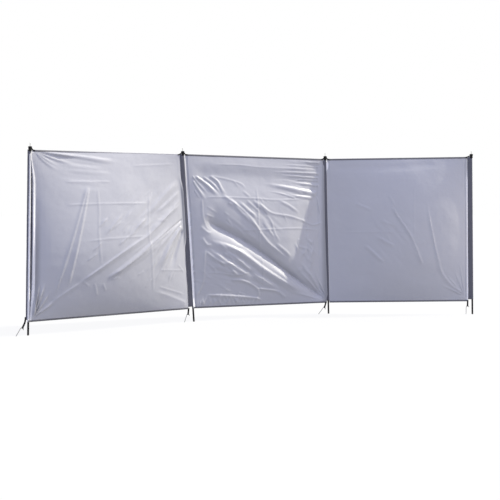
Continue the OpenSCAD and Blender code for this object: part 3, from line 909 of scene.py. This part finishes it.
def ribbon(name, line, across, width, thick):
    """A flat strap along a line of points, with its width in the direction across."""
    line = np.asarray(line, float)
    way = np.gradient(line, axis=0)
    if np.allclose(line[0], line[-1]):
        way[0] = way[-1] = line[1] - line[-2]
    face = np.cross(way, np.broadcast_to(across, line.shape))
    face /= np.linalg.norm(face, axis=1, keepdims=True)
    side = np.cross(face, way)
    side /= np.linalg.norm(side, axis=1, keepdims=True)
    w, t = width / 2, thick / 2
    front = [(-w, 0.4 * t), (0.4 * thick - w, t), (0, 0.85 * t), (w - 0.4 * thick, t), (w, 0.4 * t)]
    back = [(a, -b) for a, b in front]
    ring = [back[0], *front, *back[:0:-1]]
    points = np.stack([line + side * a + face * b for a, b in ring], 1)
    far = np.concatenate([[0], np.cumsum(np.linalg.norm(np.diff(line, axis=0), axis=1))])
    flat = np.stack([np.stack([far, np.full_like(far, a)], -1) for a, _ in ring], 1) * MM
    piece = mesh_of(name, points, flat, "black_webbing", closed=True)
    close_up(piece)
    return piece


def as_one(pieces):
    only(pieces[0])
    for piece in pieces:
        piece.select_set(True)
    bpy.ops.object.join()
    return pieces[0]


# Shares of a strap's reach and drops below the cloth's edge where it is sewn, and how much shorter it is
# on the left of a pole
STRAP_SPOTS, STRAP_SHORTER = ((0.25, 2), (0.6, 4), (1, 5)), 4


def make_top_loop(pole, bays):
    """Elastic about the neck of a cap, with a strap sewn to the tape of each bay beside it."""
    name = POLES[pole] + "_top_loop"
    high = CLOTH_GAP[pole] + CLOTH_HEIGHT + POLE_ABOVE - STRAP_WIDTH / 2 - FIT
    centre, radius = FEET[pole] + UP[pole] * high, CAP_NECK + FIT + STRAP_THICK / 2
    x, y, z = beside(pole)
    turns = np.linspace(0, 2 * math.pi, 49)
    circle = [centre + radius * (x * math.cos(a) + y * math.sin(a)) for a in turns]
    pieces = [ribbon(name + "_ring", circle, z, STRAP_WIDTH, STRAP_THICK)]
    for bay in bays:
        sign = 1 if bay.index == pole else -1
        x, y, z = beside(pole, bay.index)
        start = centre + x * sign * radius
        from_end = STRAP_REACH - (0 if sign > 0 else STRAP_SHORTER)
        spots = []
        for reach, drop in STRAP_SPOTS:
            u = reach * from_end / bay.width
            place = bay.surface(np.array([u if sign > 0 else 1 - u]), np.array([CLOTH_HEIGHT - drop]))[0]
            spots.append(place + bay.front * (CLOTH_THICK / 2 + 1.2 + STRAP_THICK / 2))
        line = smooth_path([start - x * sign * 1.5, start + x * sign * 1.2 - z * 3, *spots], 6)
        pieces.append(ribbon(f"{name}_{bay.name}", line, z, STRAP_WIDTH, STRAP_THICK))
    dress(as_one(pieces), "black_webbing", name)
    pieces[0].name = name + "_webbing"


# A peg loop is of thinner webbing than its tab
LOOP_THICK = WEB_THICK * 0.8
# Spots of a peg loop's leg, as distances from its middle and heights
LOOP_LEG = ((2.4, 1), (1.9, -8), (1.7, -18), (2.6, -32))
# The same for its ends, sewn on both sides of the sleeve
LOOP_END = ((2.2, -3), (2.6, 0), (2.6, 4), (2.6, 10))


def make_peg_loop(pole):
    """Webbing sewn about the lower corner of the cloth, and looped round the hook of a peg."""
    name = POLES[pole] + "_peg_loop"
    x, y, z = beside(pole)
    swing = math.radians(WEB_SWING[pole])
    out = -SLEEVE_TAIL[pole] - FIT - WEB_WIDTH / 2
    down = CLOTH_GAP[pole] - WEB_WIDTH / 2 * math.sin(swing) - 2 * FIT
    top = FEET[pole] + x * out + z * down
    side, up = x * math.cos(swing) - z * math.sin(swing), x * math.sin(swing) + z * math.cos(swing)
    round_wire = WIRE / 2 + 2 * FIT + WEB_THICK / 2
    foot = round_wire + WEB_THICK / 2 - WEB_LENGTH
    angles = np.linspace(-0.1, -math.pi + 0.1, 9)
    turn = [(round_wire * math.cos(a), foot + round_wire * math.sin(a)) for a in angles]
    spots = [*LOOP_LEG, *turn, *((-a, b) for a, b in LOOP_LEG[::-1])]
    line = smooth_path([top + y * a + up * b for a, b in spots], 4)
    pieces = [ribbon(name + "_loop", line, side, WEB_WIDTH, LOOP_THICK)]
    if pole == 0:
        high = SLEEVE_LIFT + WEB_TAB
        base = FEET[pole] + x * out + z * CLOTH_GAP[pole]
        tab = [top + up, *(base + x * a - y * b + z * c for a, b, c in
                           ((3, 0, 12), (5, 1.5, high * 0.6), (5.5, 2, high)))]
        pieces.append(ribbon(name + "_tab", smooth_path(tab, 6), x, WEB_WIDTH, WEB_THICK))
    else:
        for face in (-1, 1):
            sewn = [top + y * face * a + up * b for a, b in LOOP_END]
            line = smooth_path(sewn, 4)
            pieces.append(ribbon(f"{name}_end{face + 1}", line, side, WEB_WIDTH, LOOP_THICK))
    dress(as_one(pieces), "black_webbing", name)
    pieces[0].name = name + "_webbing"


def left_folds(bay):
    # Rays from the upper left corner, and soft streaks under the tape
    bay.fold([(36, 150.4), (67, 154.4), (93, 158.4), (118, 161.9)], 9, 24, 46, (0.15, 0.3), (0.4, 1))
    bay.fold([(35.5, 150.6), (54, 153.4), (80, 157)], 14, 14, 26, (0.1, 0.5), (0.5, 1))
    bay.fold([(35.5, 151), (46.4, 159.5), (60, 167)], 5, 18, 30, (0.1, 0.6), (0.3, 1))
    bay.fold([(35.2, 151.5), (44, 161), (62, 173)], 4, 20, 30, (0.1, 0.6), (0.3, 1))
    bay.fold([(36, 151), (54, 158.6), (76, 164.5)], 6, 18, 30, (0.15, 0.5), (0.3, 1))
    bay.fold([(60, 164), (84, 167), (105, 169)], 2.4, 26, 34)
    bay.fold([(66, 170), (92, 172), (112, 173)], 1.6, 22, 30)
    bay.fold([(130, 165.8), (178, 163.8)], 1.6, 10, 20)
    # Lines from when the cloth was packed
    bay.creases(
        [(64, 181.6), (112, 181.6)], [(64, 205), (100, 203.6), (150, 203)],
        [(88, 241.6), (106, 239), (147, 235.8)],
        [(97.4, 187), (99.3, 208), (99.3, 234), (101.8, 266)],
        [(149.6, 187), (149.6, 234), (152.3, 249), (153.6, 294.5)], rise=2.8, lit=11)
    # Two long ridges that spread downwards
    bay.crease([(88.2, 184.7), (81.7, 208), (68.6, 254), (54.2, 297)], 5.5, 12, 40, (0.1, 0.1), (0.8, 1))
    bay.crease([(89.5, 184.7), (85.6, 208), (77.8, 247), (68, 287)], 7.5, 13, 62, (0.1, 0.1), (0.8, 1))
    # The diagonal from the lower left corner to the middle of the second pole
    bay.crease([(33.5, 317.5), (58, 297.5), (86, 279)], 6, 14, 50, (0.2, 0.25), (0.4, 1))
    bay.crease([(78, 284), (98, 269.8), (127, 249.4), (150, 234)], 13, 18, 66, (0.2, 0.3), (0.6, 1))
    bay.crease([(132, 246), (148, 235.5), (163, 221), (182, 197.5)], 8, 22, 60, (0.3, 0.2))
    bay.fold([(150, 232), (163, 219), (174, 206)], 6, 30, 34)
    bay.fold([(106, 280), (131, 262), (151, 246), (170, 230), (183, 217.5)], 15, 40, 36,
             (0.15, 0.5), (0.6, 1))
    bay.fold([(110, 279), (131, 264.5), (151, 250), (170, 236)], 7, 26, 44, (0.2, 0.3))
    bay.crease([(144, 252), (152, 245.4), (167, 232.6), (183.5, 219)], -9, 12, 18, (0.2, 0.05))
    # Short folds above it, and folds from the upper part of the second pole
    bay.group((
        (5, (105, 236), (115, 224), (124, 213)), (3.6, (98, 228), (108, 217)),
        (5, (128, 238), (142, 223), (149, 215)), (3, (112, 230), (122, 220)),
        (3.6, (118, 246), (130, 235)), (3.6, (136, 228), (146, 218)),
        (3, (86, 262), (98, 252)), (3, (92, 252), (104, 240))), 3, 5.5, (0.35, 0.35), rise=1.4)
    bay.fold([(179, 180), (164, 196), (147, 216)], 9, 34, 52)
    bay.fold([(181, 190), (168, 203), (156, 213)], 6, 18, 34)
    bay.fold([(181, 204), (166, 217), (158, 223)], 5, 16, 30)
    bay.creases([(156, 219.6), (170, 220.6)], [(152, 192), (150, 203)], rise=2)
    # Rays down from the middle of the second pole
    bay.fold([(183, 226), (172, 244), (160, 270)], 14, 44, 60, (0.05, 0.35), (0.3, 1))
    bay.fold([(184, 229), (178, 246), (170, 270)], -15, 56, 40, (0.1, 0.35), (0.4, 1))
    bay.fold([(182, 222.5), (168, 238), (152, 258)], 6, 30, 40, (0.05, 0.4), (0.3, 1))
    bay.creases(
        [(179, 264), (185, 272)], [(160, 270), (185, 270)], [(159, 286.5), (184, 294)],
        [(94.7, 283), (97.4, 296)], [(103, 283), (106, 291)], [(111.7, 279), (119.6, 277)],
        [(138, 275), (144, 271)], [(83, 281), (89, 286)], [(146, 288), (152, 279)], rise=2.8)
    bay.crease([(154, 291), (170, 296), (187, 303)], 4.5, 26, 70, (0.3, 0.1))
    # Rays from the lower left corner
    for rise, tip in ((20, (40, 281)), (19, (45.5, 281)), (14, (51, 290)), (14, (36.6, 284)),
                      (8, (57, 300))):
        bay.fold([(33.2, 317.5), tip], rise, 16, 24, (0.25, 0.5), (0.3, 1))
    # Strewn creases: pixel, reach, slant, count, rise and seed
    for row in (((136, 228), 340, 44, 26, 2.2, 81), ((166, 250), (150, 260), 62, 18, 2.4, 82)):
        bay.scatter(*row)
    # Streaks: pixel, reach, slant, length, width, rise and seed
    for row in (((150, 222), 380, 42, 240, 34, 2.2, 74), ((165, 255), 260, 60, 200, 26, 2.2, 75),
                ((85, 165), 300, -6, 260, 30, 1.2, 76)):
        bay.ripples(*row)


def middle_folds(bay):
    # The main forms: a long valley down to the lower right corner, and a hollow beside the third pole
    valley = [(242, 239), (264, 253), (289, 272)]
    bay.crease([(203, 219), *valley, (326, 300.5)], -36, 250, 130, (0.07, 0.1), (1, 0.4))
    bay.crease([(208, 222), *valley, (316, 293)], -26, 78, 150, (0.1, 0.25), (1, 0.5))
    bay.fold([(318, 198), (304, 235), (302, 290)], -14, 150, 190, (0.25, 0.3))
    bay.fold([(190, 176), (250, 178), (322, 184)], -16, 130, 240, (0.1, 0.1))
    bay.fold([(206, 240), (226, 245.5), (242, 253), (262, 267.5), (292, 287), (304, 293)], 17, 36, 90,
             (0.25, 0.25), (0.8, 0.7))
    bay.crease([(232, 247), (245, 249.5), (256, 259), (268, 266)], -4, 12, 12, (0.2, 0.3))
    bay.fold([(270, 266), (286, 278), (302, 291)], 14, 44, 60, (0.5, 0.4))
    # Pleats that grow towards the third pole
    bay.crease([(214, 164.2), (239.6, 164.9), (259.5, 167), (289, 168.3), (319, 169.8)], 3, 10, 20,
               (0.1, 0.05))
    bay.group((
        (3.4, (296, 161), (306, 161.8), (320, 162.8)), (3.2, (276, 164.6), (297, 165.4), (320, 167)),
        (4.6, (268, 171.6), (294, 172.4), (320, 173.5)), (5, (280, 175.2), (299, 176.4), (320, 178)),
        (4, (288, 178.6), (302, 179.4), (320, 180.6)), (6, (288, 181.6), (304, 183.6), (320, 185.4)),
        (11, (262, 183), (284, 186.8), (318, 193.6)), (7, (284, 193), (298, 196), (314, 197.8)),
        (4, (266, 191), (280, 193), (296, 198))), 2.6, 4.6, (0.6, 0.04), (0.6, 1), rise=1.25)
    # Folds spread from the upper left, like the fingers of a hand
    for rise, lit, *path in ((7, 14, (191.8, 175.6), (197.5, 182.6), (203.5, 189), (208, 194.5)),
                             (12, 24, (194.5, 175.8), (204.5, 182.4), (213, 190), (220, 198)),
                             (8, 15, (203, 176.6), (211, 182), (217, 188), (221, 194)),
                             (9, 20, (209.5, 175.6), (217.5, 181), (222, 189.5), (227, 196.5)),
                             (8, 20, (192.4, 180), (196, 186), (202, 195), (206, 201)),
                             (5, 11, (193.6, 190), (197, 194.4), (200, 199))):
        bay.fold(path, rise, lit, lit * 1.6, (0.1, 0.45), (0.5, 1))
    bay.crease([(210, 175.4), (229.7, 179.6), (242, 184), (247, 190)], 4, 11, 24, (0.1, 0.2))
    # Lines from when the cloth was packed
    bay.creases(
        [(202, 198), (218, 196.8), (257, 198.4), (277, 199.7), (308, 198.8)],
        [(201.7, 198), (202.3, 214), (204.8, 223), (209, 231)],
        [(257, 185), (258, 204), (259.5, 232), (263, 265.6), (263, 287)],
        [(236, 230.4), (273, 229), (299, 228.2), (322, 230.2)],
        [(205.5, 273), (218, 272.4), (235, 275), (250, 272)], rise=4, lit=9)
    bay.creases(
        [(204.8, 249), (204, 272), (202, 284), (195, 298.5)],
        [(206, 294.8), (227, 295.5), (257, 298), (261, 302)],
        [(229.6, 279.4), (243.4, 280.6), (257, 288), (259.5, 296.8)],
        [(257, 288), (277, 291), (285.6, 298)], rise=9, lit=15, dark=38)
    # The ridge across the middle, with streaks beside it
    bay.crease([(221, 193), (232, 201.5), (242, 209), (252, 219), (259, 230), (268, 242), (277, 249.5),
                (290, 260)], 10, 20, 60, (0.1, 0.2))
    bay.group((
        (6, (238, 200.5), (249.6, 210.6), (258, 219)), (5, (246, 199.5), (257, 209.6), (260, 214)),
        (6, (252, 199.5), (264.5, 208.4), (271, 214.6)), (5, (234, 204.6), (245, 216), (252, 225)),
        (5, (243, 212), (254, 223), (260, 229)), (4, (228, 202), (233, 205)),
        (4, (262, 220), (270, 231), (276, 239)), (4, (266, 214), (272, 222), (275, 233), (281, 243)),
        (6, (276, 243), (287, 252), (292, 258)), (5, (278, 200), (288, 204.5), (300, 213)),
        (4, (225, 222), (234, 229)), (4, (246, 232), (256, 239))), 2.8, 6, (0.25, 0.3))
    bay.crease([(257, 198.4), (263, 206), (270.7, 212), (277, 214), (290, 216), (302, 219.6), (312, 221)],
               6, 14, 34, (0.15, 0.25))
    # Small hooks at the left, folds below the valley, and the gathered hem
    bay.group((
        (4, (205, 214), (215, 217.5)), (6, (200, 226), (208.5, 232.5), (212, 230)),
        (7, (201.5, 237), (207, 244.6), (212, 243)), (7, (204, 250), (217, 260), (230, 266)),
        (4, (206, 262), (216, 270))), 2.6, 6, (0.2, 0.3), sharp=True)
    bay.group((
        (13, (206, 248), (222, 259), (240, 270), (256, 280)),
        (10, (216, 247), (234, 257), (250, 268), (262, 277)),
        (9, (210, 262), (226, 270), (242, 277)),
        (10, (250, 272), (264, 280), (280, 290))), 2.7, 6, (0.3, 0.35))
    for x, lean, rise in ((199, 3, 5), (204, -2, 4), (208, 4, 5), (214, 2, 4), (221, -3, 5), (227, 3, 4),
                          (236, 2, 4), (244, -2, 5), (251, 3, 4)):
        bay.fold([(x, 305.5 - (x - 199) * 0.045), (x + lean, 298.5)], rise, 10, 16, (0.1, 0.6))
    # Creases in the hollow, and the lower right corner
    bay.creases(
        [(302, 219.6), (308, 222.6), (315, 224.6), (323, 222)], [(313, 238), (313.5, 262)],
        [(309, 243), (310, 256)], [(299, 246), (308, 249)], [(304, 268), (312, 276)],
        [(318, 196), (321, 214)], [(300, 238), (297, 256)], rise=6)
    bay.fan((328, 301.5), [(292, 262), (300, 258), (312, 262), (286, 290), (298, 284)], 7, 24)
    # Strewn creases: pixel, reach, slant, count, rise and seed
    for row in (((310, 245), (150, 420), 78, 16, 4, 90), ((306, 262), (160, 300), -48, 10, 4, 91),
                ((250, 215), 300, -40, 26, 2.6, 83), ((235, 264), 280, -32, 26, 3.4, 84),
                ((222, 286), (330, 150), -14, 20, 1.8, 85), ((228, 299), (340, 40), 62, 26, 2.7, 88),
                ((222, 299.5), (320, 36), 118, 16, 2.5, 89), ((300, 178), 200, -4, 14, 2.2, 86)):
        bay.scatter(*row)
    # Streaks: pixel, reach, slant, length, width, rise and seed
    for row in (((258, 222), 330, -38, 190, 26, 2.0, 71), ((232, 258), 300, -32, 200, 30, 2.0, 72),
                ((295, 180), 260, -4, 260, 22, 1.4, 73)):
        bay.ripples(*row)


def right_folds(bay):
    # Three long ridges to the lower right corner, and short ones beside them
    bay.crease([(391, 203), (397, 215), (411.6, 237), (423, 266)], 9, 14, 46, (0.15, 0.1), (0.6, 1))
    bay.crease([(427, 200), (430, 219), (436, 249), (442, 272)], 9, 14, 44, (0.35, 0.2), (0.6, 1))
    bay.crease([(438, 262), (443, 274), (450, 283), (462, 293)], 9, 15, 46, (0.2, 0.1))
    bay.fold([(364, 244), (385, 263)], 5, 16, 34)
    bay.fold([(376.5, 236), (396, 246.6)], 4, 14, 34)
    bay.fold([(355, 203), (372, 210)], 3.6, 16, 30)
    bay.fold([(380, 220), (396, 226)], 2.4, 14, 26)
    bay.fold([(388, 193), (396, 208)], 2.4, 12, 26)
    bay.fold([(330, 168), (400, 167), (462, 162)], -2.5, 50, 60, (0.1, 0.3))
    bay.fan((464.5, 296), [(446, 274), (454, 268), (440, 284), (460, 262)], 6, 18)
    bay.creases([(340, 232), (420, 231)], [(414, 187), (414, 243)], rise=1.4)
    # Strewn creases: pixel, reach, slant, count, rise and seed
    bay.scatter((395, 235), 330, -52, 14, 1.6, 87)
    # Streaks: pixel, reach, slant, length, width, rise and seed
    bay.ripples((395, 240), 330, -50, 220, 30, 1.0, 77)


set_camera()
set_light()
set_floor()

for ending, material in CAD_FINISHES.items():
    for pole in POLES:
        shown = frame["nodes"][pole + ending]
        shown.data.materials.clear()
        shown.data.materials.append(material)

bays = [Bay(index) for index in range(len(BAYS))]
for index, (bay, draw) in enumerate(zip(bays, (left_folds, middle_folds, right_folds))):
    draw(bay)
    cloth = make_cloth(bay)
    sewn = [make_tape(bay, upper) for upper in (True, False)]
    if index == LEFT:
        sewn.append(make_lining_and_shade(bay))

for pole in range(len(POLES)):
    make_sleeve(pole)
    make_top_loop(pole, [bay for bay in bays if pole - bay.index in (0, 1)])
    make_peg_loop(pole)
